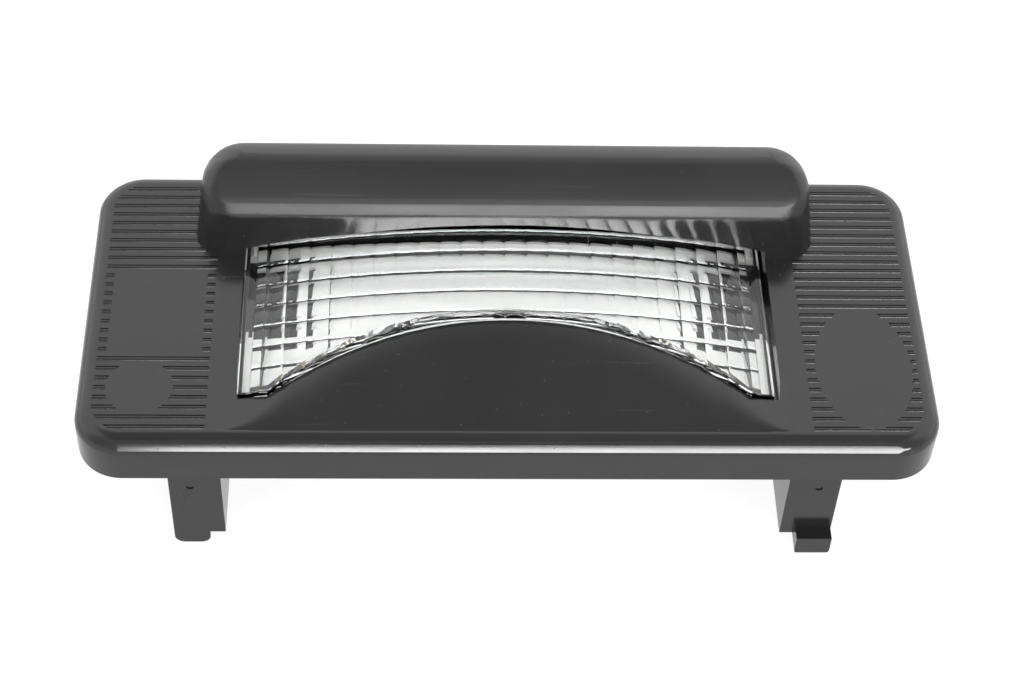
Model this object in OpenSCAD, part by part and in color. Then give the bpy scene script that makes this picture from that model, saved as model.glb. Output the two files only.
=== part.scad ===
// Number plate lamp for a car: a black moulded face plate with a hood and two clip legs,
// a ribbed clear lens, and a white bulb carrier with contacts and a festoon bulb.
// Millimetres. X runs along the lamp, Y from the front rim to the hood, Z out of the panel.
// The origin is in the middle of the panel opening, at the level of the panel's face.

/* [Face plate] */
// Width of the face plate, left to right
plate_w = 100; // [94:1:120]
// Depth of the face plate, front to back
plate_d = 42.6; // [41:0.2:52]
// Height of the flat face above the panel
rim_h = 6.3; // [5.4:0.1:8]
// Corner radius of the plate, seen from above
plate_corner_r = 5.5; // [4:0.5:8]
// Rounding of the top edge
edge_r = 2; // [1:0.1:3]
// Wall thickness of the black moulding
wall = 2; // [1.6:0.1:2.3]

/* [Grip grooves] */
// Number of grooves on each wing
groove_count = 27; // [15:1:27]
// Distance from one groove to the next
groove_pitch = 1.43; // [1.1:0.01:1.45]
// Width of a groove
groove_w = 0.4; // [0.3:0.05:0.7]
// Depth of a groove
groove_depth = 0.25; // [0.2:0.05:0.6]
// Bare margin between the grooves and the sides of the plate
groove_margin = 2.05; // [2:0.05:4]
// Length of one wing's grooves
groove_len = 13.1; // [10:0.1:13.1]
// Length of the dots beside the bare rectangle
dot_len = 1; // [0.5:0.1:2]
// Diameter of the bare disc on the left wing
disc_d = 7.8; // [5:0.1:9]
// Width of the bare oval on the right wing
oval_w = 11.5; // [8:0.1:12]
// Depth of the bare oval on the right wing
oval_d = 18.5; // [12:0.1:20]

/* [Lens] */
// Width of the lens
lens_w = 62; // [56:0.1:64]
// Distance from the front of the plate to the lens
lens_front = 6.9; // [6.8:0.1:9]
// Height of the lens's crown above the flat face
lens_crown = 4.3; // [3:0.1:5]
// Height of the lens's ends above the flat face
lens_end = 0.5; // [0:0.1:1]
// Thickness of the lens
lens_t = 2; // [1.5:0.1:2.5]
// Gap between the lens and the sides of the opening
lens_gap = 0.6; // [0.5:0.05:0.8]
// Gap between the lens and the front of the opening
front_gap = 0.2; // [0.15:0.05:0.5]
// How far the lens sits to the left in the opening
lens_shift = 0.4; // [0:0.05:0.4]
// Gap between the lens and the tongue
tongue_gap = 0.15; // [0.1:0.05:0.4]
// Width of the lens's side walls
lens_wall = 1.6; // [1.2:0.1:2]
// Thickness of the lens's flange
flange_t = 1.4; // [1:0.1:2]
// Number of columns across the lens
column_count = 24; // [12:2:30]
// Pitch of the rows along the lens
row_pitch = 3; // [2:0.1:4]
// Depth of the columns' flutes
flute_depth = 0.18; // [0.1:0.02:0.3]
// Depth of the rows' flutes
row_depth = 0.1; // [0.06:0.02:0.2]

/* [Shade tongue] */
// Distance from the front of the plate to the tongue's tip
tongue_reach = 16.1; // [14:0.1:18]
// Rise of the tongue's tip above the flat face
tongue_rise = 3.3; // [2:0.1:3.6]
// Radius of the tongue's edge, seen from above
tongue_r = 46; // [40:1:60]
// Step from the lens down to the tongue
tongue_step = 0.9; // [0.4:0.1:1.5]

/* [Hood] */
// Width of the hood at its foot
hood_w = 75.2; // [70:0.1:80]
// Depth of the hood at its foot
hood_d = 11.8; // [11:0.1:13]
// Distance from the back of the plate to the hood
hood_back = 1.9; // [1.9:0.1:4]
// Height of the hood above the flat face
hood_h = 10.4; // [9.5:0.1:13]
// Lean of the hood's front face
hood_lean = 12; // [5:1:20]
// Lean of the hood's ends
hood_draft = 8; // [2:1:12]
// Rounding of the hood's top edge at the front
hood_r = 4.2; // [3.4:0.1:4.6]
// Rounding of the hood's top edge at the back
hood_back_r = 5.2; // [3.4:0.1:5.4]
// Gap between the lens and the hood's lip
lip_gap = 0.4; // [0.3:0.1:1]

/* [Lamp body] */
// Width of the ledge that the lens's flange meets
ledge_w = 1.2; // [1:0.1:3]
// Wall thickness of the lamp body
chamber_wall = 1.6; // [1.4:0.1:2]
// Depth of the lamp body below the panel's face
body_depth = 6.4; // [6.2:0.1:12]

/* [Clip legs] */
// Width of a leg
leg_w = 6.25; // [5.5:0.05:8]
// Thickness of a leg
leg_t = 1.8; // [1.4:0.1:2.6]
// Depth of the web that stiffens a leg
web_d = 12; // [8:0.5:16]
// Thickness of the web
web_t = 1.3; // [1:0.1:1.8]
// Length of the web below the panel's face
web_len = 17.75; // [15:0.25:22]
// Length of the left leg's tip below the web
left_tip = 2.15; // [1:0.05:5]
// Length of the right leg's tip below the web
right_tip = 2.65; // [2:0.05:5]
// Height of the catch above the web's end
catch_up = 0.85; // [0.5:0.05:3]
// Height of the chamfer below the catch
catch_chamfer = 0.6; // [0.3:0.1:1]
// How far the catch stands out
catch_out = 1.6; // [0.8:0.1:2]

/* [Bulb] */
// Overall length of the festoon bulb
bulb_len = 36; // [34:0.5:40]
// Diameter of the glass
glass_d = 10.5; // [9:0.1:10.7]
// Wall of the glass
glass_t = 0.6; // [0.4:0.1:0.8]
// Diameter of the end caps
cap_d = 8.5; // [7:0.1:8.8]
// Length of an end cap without its nose
cap_len = 4; // [3:0.1:5]
// Length of a cap's nose
nose_len = 2; // [1.5:0.1:2.5]
// Clearance round the bulb
bulb_clear = 0.4; // [0.3:0.1:0.8]

/* [Carrier] */
// Thickness of the carrier's floor
floor_t = 1.8; // [1.4:0.1:2.4]
// Clearance of the carrier in the lamp body
carrier_clear = 0.2; // [0.1:0.05:0.4]
// Width of the seal
seal_w = 1.5; // [1:0.1:2]
// Height of the seal
seal_h = 1; // [0.6:0.1:1.1]
// Radius of the reflecting curve at the back
curve_r = 3; // [2:0.5:7]
// Width of a snap tongue
snap_w = 8; // [5:0.5:9]
// Width of the shelf that a snap hooks over
shelf_w = 8; // [6:0.1:8.4]
// Depth of the shelf, front to back
shelf_d = 12; // [10:0.5:12.5]

/* [Contacts] */
// Thickness of the contact strip
strip_t = 0.5; // [0.3:0.1:0.8]
// Width of the contact strip
strip_w = 6.3; // [5:0.1:7]
// Share of the space beside the bulb that a contact's foot spans
foot_share = 0.8; // [0.75:0.01:0.9]
// Length of a terminal blade below the floor
blade_len = 6.6; // [6:0.1:12]
// Diameter of a rivet
rivet_d = 3; // [2:0.1:3.5]

/* [Hidden] */

$fn = 48;
big_fn = 360;
hull_fn = 32;
far = 200;
eps = 0.01;

front_y = -plate_d / 2;
back_y = plate_d / 2;
inside_z = rim_h - wall;

// Ejector marks on the legs
mark_d = 0.9;
mark_depth = 0.15;
mark_drop = 8.6;

// Lens outline and its arched top
lens_y0 = front_y + lens_front;
window_w = lens_w + 2 * lens_gap;
window_y0 = lens_y0 - front_gap;
arch_half = window_w / 2;
arch_rise = lens_crown - lens_end;
arch_r = (arch_half * arch_half + arch_rise * arch_rise) / (2 * arch_rise);
arch_z = rim_h + lens_crown - arch_r;

// Tongue in front of the lens
tongue_y0 = front_y + edge_r + 0.1;
tongue_y1 = front_y + tongue_reach;
tongue_slope = tongue_rise / (tongue_y1 - tongue_y0);

// Hood
hood_y1 = back_y - hood_back;
hood_y0 = hood_y1 - hood_d;
hood_foot_r = 3.4;

// Lamp body behind the plate
chamber_w = window_w + 2 * ledge_w;
chamber_y1 = hood_y1 - chamber_wall;
window_y1 = chamber_y1 - 1;
chamber_y0 = window_y0;
body_x = chamber_w / 2 + chamber_wall;
body_y0 = chamber_y0 - chamber_wall;
body_y1 = chamber_y1 + chamber_wall;
leg_x = body_x - 0.4;
lens_y1 = window_y1 - lens_gap;

// Carrier, seal and snaps
floor_z = floor_t - body_depth;
carrier_x = chamber_w / 2 - carrier_clear;
carrier_y0 = chamber_y0 + carrier_clear;
carrier_y1 = chamber_y1 - carrier_clear;
kerb_t = 0.9;
kerb_h = seal_h + 0.1;
kerb_x = chamber_w / 2 - seal_w;
kerb_y0 = chamber_y0 + seal_w;
kerb_y1 = chamber_y1 - seal_w;
snap_t = 1.2;
snap_h = 1.6;
snap_out = 0.9;
snap_gap = 0.1;

// Bulb and contacts
bulb_z = floor_z + glass_d / 2 + bulb_clear;
bulb_y = chamber_y0 + glass_d / 2 + bulb_clear;
glass_len = bulb_len - 2 * (cap_len + nose_len) + 1.6;
nose_d = 3;
cap_edge_d = 6.4;
leaf_x = bulb_len / 2 - nose_len / 2;
leaf_hole_d = cap_edge_d - (cap_edge_d - nose_d) / 2 + 0.2;
leaf_top = bulb_z + strip_w / 2;
foot_len = (kerb_x - kerb_t - leaf_x) * foot_share;
rivet_x = leaf_x + foot_len / 2;
rivet_head_d = rivet_d + 1.8;
rivet_head_t = 0.6;
blade_x = leaf_x + foot_len;
shelf_x = chamber_w / 2 - shelf_w;
shelf_y1 = kerb_y1 - kerb_t - 1;
shelf_y0 = shelf_y1 - shelf_d;
snap_y = (shelf_y0 + shelf_y1) / 2;
slot_clear = 0.15;

// Colours
black = [0.09, 0.09, 0.095];
clear = [0.88, 0.92, 0.95, 0.45];
white = [0.93, 0.93, 0.91];
rubber = [0.16, 0.16, 0.17];
brass = [0.78, 0.63, 0.33];
tin = [0.78, 0.78, 0.8];

// A rectangle with round corners, centred on X, from y0 to y1
module round_rect(w, y0, y1, r) {
    hull_w = w - 2 * r;
    union() {
        translate([-hull_w / 2, y0]) square([hull_w, y1 - y0]);
        translate([-w / 2, y0 + r]) square([w, y1 - y0 - 2 * r]);
        for (x = [-1, 1], y = [y0 + r, y1 - r])
            translate([x * hull_w / 2, y]) circle(r);
    }
}

// A profile drawn in Y and Z, drawn out along X about the middle
module along_x(length) {
    translate([-length / 2, 0, 0]) rotate([90, 0, 90]) linear_extrude(length) children();
}

// A profile drawn in X and Z, drawn out along Y
module along_y(y0, y1) {
    translate([0, y1, 0]) rotate([90, 0, 0]) linear_extrude(y1 - y0) children();
}

// Both hands of a shape
module both_sides() {
    children();
    mirror([1, 0, 0]) children();
}

// Half section of the plate's edge, with its round top corner
module edge_section() {
    difference() {
        square([plate_corner_r, rim_h]);
        translate([plate_corner_r - edge_r, rim_h - edge_r]) difference() {
            square(edge_r + 1);
            circle(edge_r);
        }
    }
}

// The solid plate with round corners and a round top edge
module plate_block() {
    mid_w = plate_w - 2 * plate_corner_r;
    mid_d = plate_d - 2 * plate_corner_r;
    union() {
        translate([-mid_w / 2, -mid_d / 2, 0]) cube([mid_w, mid_d, rim_h]);
        for (side = [0, 180]) rotate([0, 0, side]) {
            translate([0, mid_d / 2, 0]) along_x(mid_w) edge_section();
            translate([mid_w / 2, 0, 0]) rotate([0, 0, -90]) along_x(mid_d) edge_section();
            translate([mid_w / 2, mid_d / 2, 0]) rotate_extrude(angle = 90) edge_section();
            translate([-mid_w / 2, mid_d / 2, 0]) rotate([0, 0, 90])
                rotate_extrude(angle = 90) edge_section();
        }
    }
}

// Everything below the lens's arch, lowered by the given amount
module under_arch(lower, y0, y1) {
    along_y(y0, y1) translate([0, arch_z]) circle(arch_r - lower, $fn = big_fn);
}

// Everything below the tongue's slope, lowered by the given amount
module under_slope(lower) {
    reach = tongue_y1 - tongue_y0 + 4;
    translate([0, tongue_y0, rim_h - lower]) along_x(plate_w)
        polygon([[-4, -far], [reach, -far], [reach, reach * tongue_slope], [0, 0], [-4, 0]]);
}

// The tongue's outline seen from above, grown by the given amount
module tongue_disc(grow) {
    translate([0, tongue_y1 - tongue_r]) circle(tongue_r + grow, $fn = big_fn);
}

// The opening in the plate, which the tongue reaches into
module window_outline() {
    difference() {
        translate([-window_w / 2, window_y0]) square([window_w, window_y1 - window_y0]);
        tongue_disc(0);
    }
}

// The shade in front of the lens: a slope that ends in a curved tip
module tongue() {
    intersection() {
        translate([0, 0, inside_z]) linear_extrude(far / 4) intersection() {
            tongue_disc(0);
            translate([-arch_half, tongue_y0]) square([2 * arch_half, plate_d]);
        }
        under_slope(0);
        under_arch(tongue_step, front_y, back_y);
    }
}

// The hollow under the tongue, one wall below its top
module tongue_hollow() {
    intersection() {
        under_slope(wall);
        under_arch(tongue_step + wall, chamber_y0, tongue_y1 + 1);
        translate([-chamber_w / 2, chamber_y0, 0]) cube([chamber_w, plate_d, far / 4]);
    }
}

// The hood's rounded form, shrunk by the given amount
module hood_form(shrink) {
    foot = hood_foot_r - shrink / 2;
    hull() for (x = [-1, 1]) {
        for (y = [hood_y0 + shrink + foot, hood_y1 - shrink - foot])
            translate([x * (hood_w / 2 - shrink - foot), y, rim_h - 1])
                cylinder(r = foot, h = 1, $fn = hull_fn);
        hood_corner(x, hood_r, shrink, 1);
        hood_corner(x, hood_back_r, shrink, -1);
    }
}

// One top corner of the hood, at its front (way 1) or its back (way -1)
module hood_corner(side, full_r, shrink, way) {
    r = full_r - shrink;
    top = hood_h - shrink - r;
    lean = way > 0 ? top * tan(hood_lean) : 0;
    y = way > 0 ? hood_y0 + shrink + lean + r : hood_y1 - shrink - r;
    translate([side * (hood_w / 2 - shrink - top * tan(hood_draft) - r), y, rim_h + top])
        sphere(r, $fn = hull_fn);
}

// The hollow hood, open below and cut away over the lens in front
module hood() {
    inner_y = hood_y0 + wall + hood_h * tan(hood_lean);
    difference() {
        hood_form(0);
        intersection() {
            hood_form(wall);
            translate([-window_w / 2, front_y, inside_z - 1]) cube([window_w, plate_d, far]);
        }
        intersection() {
            under_arch(-lip_gap, hood_y0 - 1, window_y1);
            translate([-window_w / 2, hood_y0 - 1, inside_z - 1])
                cube([window_w, inner_y - hood_y0 + 1, far]);
        }
        translate([-window_w / 2, hood_y0 - 1, inside_z - 1])
            cube([window_w, window_y1 - hood_y0 + 1, wall + 1]);
    }
}

// The grooves of both wings, with their bare areas left out
module grooves() {
    outer_x = plate_w / 2 - groove_margin;
    inner_x = outer_x - groove_len;
    side_r = plate_corner_r - 1.5;
    mid = (groove_count - 1) / 2;
    rect_y0 = groove_pitch * (mid - 18.5);
    rect_y1 = groove_pitch * (mid - 9.5);
    disc_y = groove_pitch * (mid - 22);
    disc_x = outer_x - groove_len * 0.4;
    oval_y = groove_pitch * (mid - 19.7);
    oval_x = outer_x - groove_len * 0.48;
    intersection() {
        translate([0, 0, rim_h - groove_depth]) linear_extrude(wall) difference() {
            for (i = [0 : groove_count - 1], side = [-1, 1])
                translate([side * (inner_x + outer_x) / 2, groove_pitch * (mid - i)])
                    square([groove_len, groove_w], center = true);
            translate([-outer_x + dot_len, rect_y0])
                square([groove_len - 2 * dot_len, rect_y1 - rect_y0]);
            translate([-disc_x, disc_y]) circle(disc_d / 2);
            translate([oval_x, oval_y]) polygon([for (a = [0 : 10 : 350])
                [oval_w / 2 * cos(a), oval_d / 2 * sin(a)]]);
        }
        linear_extrude(far) round_rect(2 * outer_x, groove_margin - back_y, back_y - groove_margin, side_r);
    }
}

// Blade, web and tip of the right-hand leg; the tip may be longer and carry a catch
module leg(tip, has_catch) {
    tip_x = leg_x + web_t + 0.6;
    tip_w = leg_w - web_t - 0.6;
    tip_z = -web_len - tip;
    catch_z = catch_up - web_len;
    translate([leg_x, body_y0, -web_len]) cube([web_t, web_d, web_len + inside_z + eps]);
    along_y(body_y0, body_y0 + leg_t) union() {
        translate([leg_x, -web_len]) square([leg_w, web_len + inside_z + eps]);
        translate([tip_x, tip_z]) tip_outline(tip_w, tip + eps);
    }
    if (has_catch) intersection() {
        along_y(body_y0 - catch_out, body_y0 + leg_t / 2)
            translate([tip_x, tip_z]) tip_outline(tip_w, catch_z - tip_z);
        along_x(plate_w) polygon([[body_y0 + leg_t, catch_z + 1], [body_y0 - catch_out, catch_z + 1],
            [body_y0 - catch_out, tip_z + catch_chamfer], [body_y0 - catch_out + catch_chamfer, tip_z],
            [body_y0 + leg_t, tip_z]]);
    }
}

// Front view of a leg's tip: a rectangle whose lower corners are round
module tip_outline(w, h) {
    r = 1.2;
    translate([0, r]) square([w, h - r]);
    translate([r, 0]) square([w - 2 * r, r + eps]);
    for (x = [r, w - r]) translate([x, r]) circle(r);
}

// Walls of the lamp body below the plate, with a shelf at each end for the carrier's snaps
module body_walls() {
    difference() {
        translate([-body_x, body_y0, -body_depth])
            cube([2 * body_x, body_y1 - body_y0, body_depth + inside_z + eps]);
        translate([-chamber_w / 2, chamber_y0, -body_depth - 1])
            cube([chamber_w, chamber_y1 - chamber_y0, body_depth + inside_z + 2]);
    }
    both_sides() translate([shelf_x, shelf_y0, -body_depth])
        cube([shelf_w + chamber_wall / 2, shelf_d, floor_t]);
}

// Stiffening ribs below each wing
module wing_ribs() {
    both_sides() for (y = [-plate_d / 5, 0, plate_d / 5])
        translate([body_x - eps, y - 0.6, rim_h / 6])
            cube([plate_w / 2 - wall - body_x + 2 * eps, 1.2, inside_z - rim_h / 6 + eps]);
}

module housing() {
    color(black) difference() {
        union() {
            difference() {
                union() {
                    plate_block();
                    tongue();
                }
                translate([0, 0, -1]) linear_extrude(inside_z + 1)
                    round_rect(plate_w - 2 * wall, front_y + wall, back_y - wall, plate_corner_r - wall);
                translate([0, 0, inside_z - 1]) linear_extrude(wall + 2) window_outline();
                tongue_hollow();
                grooves();
            }
            hood();
            body_walls();
            wing_ribs();
            leg(right_tip, true);
            mirror([1, 0, 0]) leg(left_tip, false);
        }
        for (side = [-1, 1])
            translate([side * (leg_x + leg_w / 2 + 0.6), body_y0 + mark_depth, -mark_drop])
                rotate([90, 0, 0]) cylinder(d = mark_d, h = 1, $fn = 24);
    }
}

// Outline of the lens seen from above, shrunk by the given amount at its straight edges
module lens_outline(shrink, bite) {
    difference() {
        translate([shrink - lens_w / 2, lens_y0 + shrink])
            square([lens_w - 2 * shrink, lens_y1 - lens_y0 - 2 * shrink]);
        translate([lens_shift, 0]) tongue_disc(bite);
    }
}

// The hollow under the lens, with a round flute for each row
module lens_hollow() {
    inner_r = arch_r - lens_t;
    row_r = (row_pitch * row_pitch / 4 + row_depth * row_depth) / (2 * row_depth);
    row_n = ceil((lens_y1 - lens_y0) / row_pitch);
    row_land = 0.1;
    row_start = lens_y0 - row_pitch / 2 - 0.15;
    translate([0, 0, arch_z]) rotate([90, 0, 0]) rotate_extrude($fn = big_fn) union() {
        translate([inner_r - far / 10, -lens_y1 + lens_wall])
            square([far / 10, lens_y1 - lens_y0 - 2 * lens_wall]);
        intersection() {
            translate([inner_r - 1, -lens_y1 + lens_wall])
                square([2, lens_y1 - lens_y0 - 2 * lens_wall]);
            for (i = [0 : row_n + 1])
                translate([inner_r + row_depth - row_land / 4 - row_r, -row_start - i * row_pitch])
                    circle(row_r, $fn = 180);
        }
    }
}

// Round flutes that run from the front to the back of the lens
module column_flutes() {
    pitch = lens_w / column_count;
    land = 0.1;
    half = (pitch - land) / 2;
    r = (half * half + flute_depth * flute_depth) / (2 * flute_depth);
    along_y(lens_y0 - 1, lens_y1 + 1) for (i = [0 : column_count - 1]) {
        x = (i + 0.5) * pitch - lens_w / 2;
        z = arch_z + sqrt(arch_r * arch_r - x * x);
        translate([x, z + r - flute_depth]) circle(r, $fn = 180);
    }
}

module lens() {
    flange_x = chamber_w / 2 - carrier_clear - lens_shift;
    color(clear) translate([-lens_shift, 0, 0]) difference() {
        union() {
            intersection() {
                translate([0, 0, inside_z - flange_t]) linear_extrude(far / 4)
                    lens_outline(0, tongue_gap);
                difference() {
                    under_arch(0, lens_y0 - 1, lens_y1 + 1);
                    column_flutes();
                }
            }
            translate([0, 0, inside_z - flange_t]) linear_extrude(flange_t) difference() {
                translate([-flange_x, chamber_y0 + carrier_clear])
                    square([2 * flange_x, chamber_y1 - chamber_y0 - 2 * carrier_clear]);
                translate([lens_shift, 0]) tongue_disc(tongue_gap);
            }
        }
        intersection() {
            translate([0, 0, inside_z - flange_t - 1]) linear_extrude(far / 4)
                lens_outline(lens_wall, -tongue_r / 2);
            lens_hollow();
        }
    }
}

// Tray with the reflecting curve, kerb, snaps, and the holes of the contacts
module bulb_carrier() {
    curve_z = floor_z + curve_r;
    curve_y = kerb_y1 - kerb_t - curve_r;
    curve_w = 2 * (kerb_x - kerb_t);
    color(white) difference() {
        union() {
            translate([-carrier_x, carrier_y0, -body_depth])
                cube([2 * carrier_x, carrier_y1 - carrier_y0, floor_t]);
            difference() {
                translate([-kerb_x, kerb_y0, floor_z - eps])
                    cube([2 * kerb_x, kerb_y1 - kerb_y0, kerb_h + eps]);
                translate([kerb_t - kerb_x, kerb_y0 + kerb_t, floor_z - 1])
                    cube([2 * (kerb_x - kerb_t), kerb_y1 - kerb_y0 - 2 * kerb_t, kerb_h + 2]);
            }
            along_x(curve_w) intersection() {
                translate([curve_y, floor_z - eps]) square([curve_r + kerb_t, curve_r]);
                difference() {
                    translate([curve_y, floor_z - eps]) square([curve_r + kerb_t, curve_r]);
                    translate([curve_y, curve_z]) circle(curve_r, $fn = 96);
                }
            }
        }
        both_sides() {
            translate([shelf_x - carrier_clear, shelf_y0 - carrier_clear, -body_depth - 1])
                cube([shelf_w + 1, shelf_d + 2 * carrier_clear, far / 4]);
            translate([rivet_x, bulb_y, -body_depth - 1]) cylinder(d = rivet_d, h = floor_t + 2);
            translate([blade_x - strip_t - slot_clear, bulb_y - strip_w / 2 - slot_clear, -body_depth - 1])
                cube([strip_t + 2 * slot_clear, strip_w + 2 * slot_clear, floor_t + 2]);
        }
    }
    color(white) both_sides() snap();
}

// One snap: a low tongue whose nose hooks over the shelf of the lamp body
module snap() {
    x = shelf_x - carrier_clear;
    z = floor_z + snap_gap;
    along_y(snap_y - snap_w / 2, snap_y + snap_w / 2) polygon([
        [x - snap_t, floor_z - eps], [x, floor_z - eps], [x, z], [x + snap_out, z],
        [x + snap_out / 2, z + snap_h], [x - snap_t, z + snap_h]]);
}

module carrier_seal() {
    color(rubber) translate([0, 0, floor_z]) linear_extrude(seal_h) difference() {
        translate([-chamber_w / 2, chamber_y0]) square([chamber_w, chamber_y1 - chamber_y0]);
        translate([-kerb_x, kerb_y0]) square([2 * kerb_x, kerb_y1 - kerb_y0]);
    }
}

// Right-hand contact: a leaf with a hole for the bulb's nose, a riveted foot and a blade
module contact() {
    color(brass) difference() {
        union() {
            translate([leaf_x, bulb_y - strip_w / 2, floor_z])
                cube([strip_t, strip_w, leaf_top - floor_z]);
            translate([leaf_x, bulb_y - strip_w / 2, floor_z]) cube([foot_len, strip_w, strip_t]);
            translate([blade_x - strip_t, bulb_y - strip_w / 2, -body_depth - blade_len + 1])
                cube([strip_t, strip_w, blade_len - 1 + floor_t + strip_t]);
            translate([blade_x - strip_t, bulb_y, -body_depth - blade_len]) rotate([90, 0, 90])
                linear_extrude(strip_t) polygon([[-strip_w / 2, 1], [1 - strip_w / 2, 0],
                    [strip_w / 2 - 1, 0], [strip_w / 2, 1]]);
        }
        translate([leaf_x - 1, bulb_y, bulb_z]) rotate([0, 90, 0])
            cylinder(d = leaf_hole_d, h = strip_t + 2);
        translate([rivet_x, bulb_y, floor_z - 1]) cylinder(d = rivet_d, h = strip_t + 2);
    }
}

// Right-hand rivet with a head above the foot and one below the floor
module rivet() {
    color(tin) translate([rivet_x, bulb_y, -body_depth]) rotate_extrude() difference() {
        union() {
            square([rivet_d / 2, floor_t + strip_t]);
            translate([0, -rivet_head_t]) square([rivet_head_d / 2, rivet_head_t]);
            translate([0, floor_t + strip_t]) square([rivet_head_d / 2, rivet_head_t]);
        }
        translate([0, -rivet_head_t - 1]) square([rivet_d / 6, floor_t + strip_t + 3]);
    }
}

// Glass tube with round shoulders that narrow into the caps
module bulb_glass() {
    half = glass_len / 2;
    neck_r = cap_d / 2 - 0.3;
    shoulder = glass_d / 2 - neck_r;
    color(clear) translate([0, bulb_y, bulb_z]) rotate([0, 90, 0]) rotate_extrude() difference() {
        union() {
            translate([0, -half]) square([neck_r, glass_len]);
            translate([0, -half + 1.6]) square([glass_d / 2, glass_len - 3.2]);
        }
        translate([-1, -half + glass_t]) square([neck_r - glass_t + 1, glass_len - 2 * glass_t]);
        translate([-1, -half + 1.6 + glass_t])
            square([neck_r + shoulder - glass_t + 1, glass_len - 3.2 - 2 * glass_t]);
    }
}

// Right-hand cap: a thin cup on the glass with a cone that sits in the contact's hole
module bulb_cap() {
    cap_x = bulb_len / 2 - nose_len - cap_len;
    color(tin) translate([cap_x, bulb_y, bulb_z]) rotate([0, 90, 0]) rotate_extrude() difference() {
        polygon([[0, 0], [cap_d / 2, 0], [cap_d / 2, cap_len - 0.4], [cap_d / 2 - 0.4, cap_len],
            [cap_edge_d / 2, cap_len], [nose_d / 2, cap_len + nose_len], [0, cap_len + nose_len]]);
        translate([0, -1]) square([cap_d / 2 - 0.3, 1 + glass_len / 2 - cap_x]);
    }
}

// Coiled wire on two straight leads, from end to end inside the glass
module bulb_filament() {
    coil_len = glass_len * 0.5;
    color(tin) translate([0, bulb_y, bulb_z]) rotate([0, 90, 0]) {
        translate([0, 0, -coil_len / 2]) cylinder(d = 0.7, h = coil_len);
        both_ends() translate([0, 0, coil_len / 2 - eps])
            cylinder(d = 0.4, h = (glass_len - coil_len) / 2 - glass_t + eps);
    }
}

// A shape at both ends of the bulb
module both_ends() {
    children();
    mirror([0, 0, 1]) children();
}

housing();
lens();
bulb_carrier();
carrier_seal();
mirror([1, 0, 0]) contact();  // contact_left
contact();  // contact_right
mirror([1, 0, 0]) rivet();  // rivet_left
rivet();  // rivet_right
bulb_glass();
mirror([1, 0, 0]) bulb_cap();  // bulb_cap_left
bulb_cap();  // bulb_cap_right
bulb_filament();
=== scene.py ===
"""Looks of a car's number plate lamp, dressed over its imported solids.

The lamp is a glossy black moulding with grooved wings, a hood and a sloping shade tongue, a clear
fluted lens, and a white bulb carrier that shows through it. Lengths in the classes are millimetres
in the row's frame; the meshes are made in metres. Noise scales are waves per metre.
"""

import logging
import math
from dataclasses import dataclass
from enum import Enum

import bmesh
import bpy
from mathutils import Matrix, Vector


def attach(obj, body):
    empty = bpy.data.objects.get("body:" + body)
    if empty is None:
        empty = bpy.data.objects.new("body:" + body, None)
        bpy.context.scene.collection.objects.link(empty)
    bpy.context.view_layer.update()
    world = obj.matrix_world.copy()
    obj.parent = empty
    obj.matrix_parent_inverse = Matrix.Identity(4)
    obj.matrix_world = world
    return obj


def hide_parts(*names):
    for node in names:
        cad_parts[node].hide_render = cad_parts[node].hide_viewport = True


MM = 0.001
BODY = "root"
FLAT_WEIGHT = 90
LOG = logging.getLogger("number_plate_lamp")

Colour = tuple[float, float, float]
Span = tuple[float, float]
Point = tuple[float, float, float]
Socket = bpy.types.NodeSocket

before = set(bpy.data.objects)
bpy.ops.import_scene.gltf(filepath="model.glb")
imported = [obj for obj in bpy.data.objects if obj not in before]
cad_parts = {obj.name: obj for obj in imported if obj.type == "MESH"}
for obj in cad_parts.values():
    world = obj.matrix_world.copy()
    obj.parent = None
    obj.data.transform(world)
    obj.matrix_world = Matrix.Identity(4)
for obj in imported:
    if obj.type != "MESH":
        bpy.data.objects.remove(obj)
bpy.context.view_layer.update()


class Slot(Enum):
    """The record's material slots."""

    BLACK = "black_plastic"
    CLEAR = "clear_plastic"
    WHITE = "white_plastic"
    SEAL = "seal_rubber"
    BRASS = "contact_brass"
    PLATED = "plated_metal"
    GLASS = "bulb_glass"
    WIRE = "filament_wire"


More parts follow.
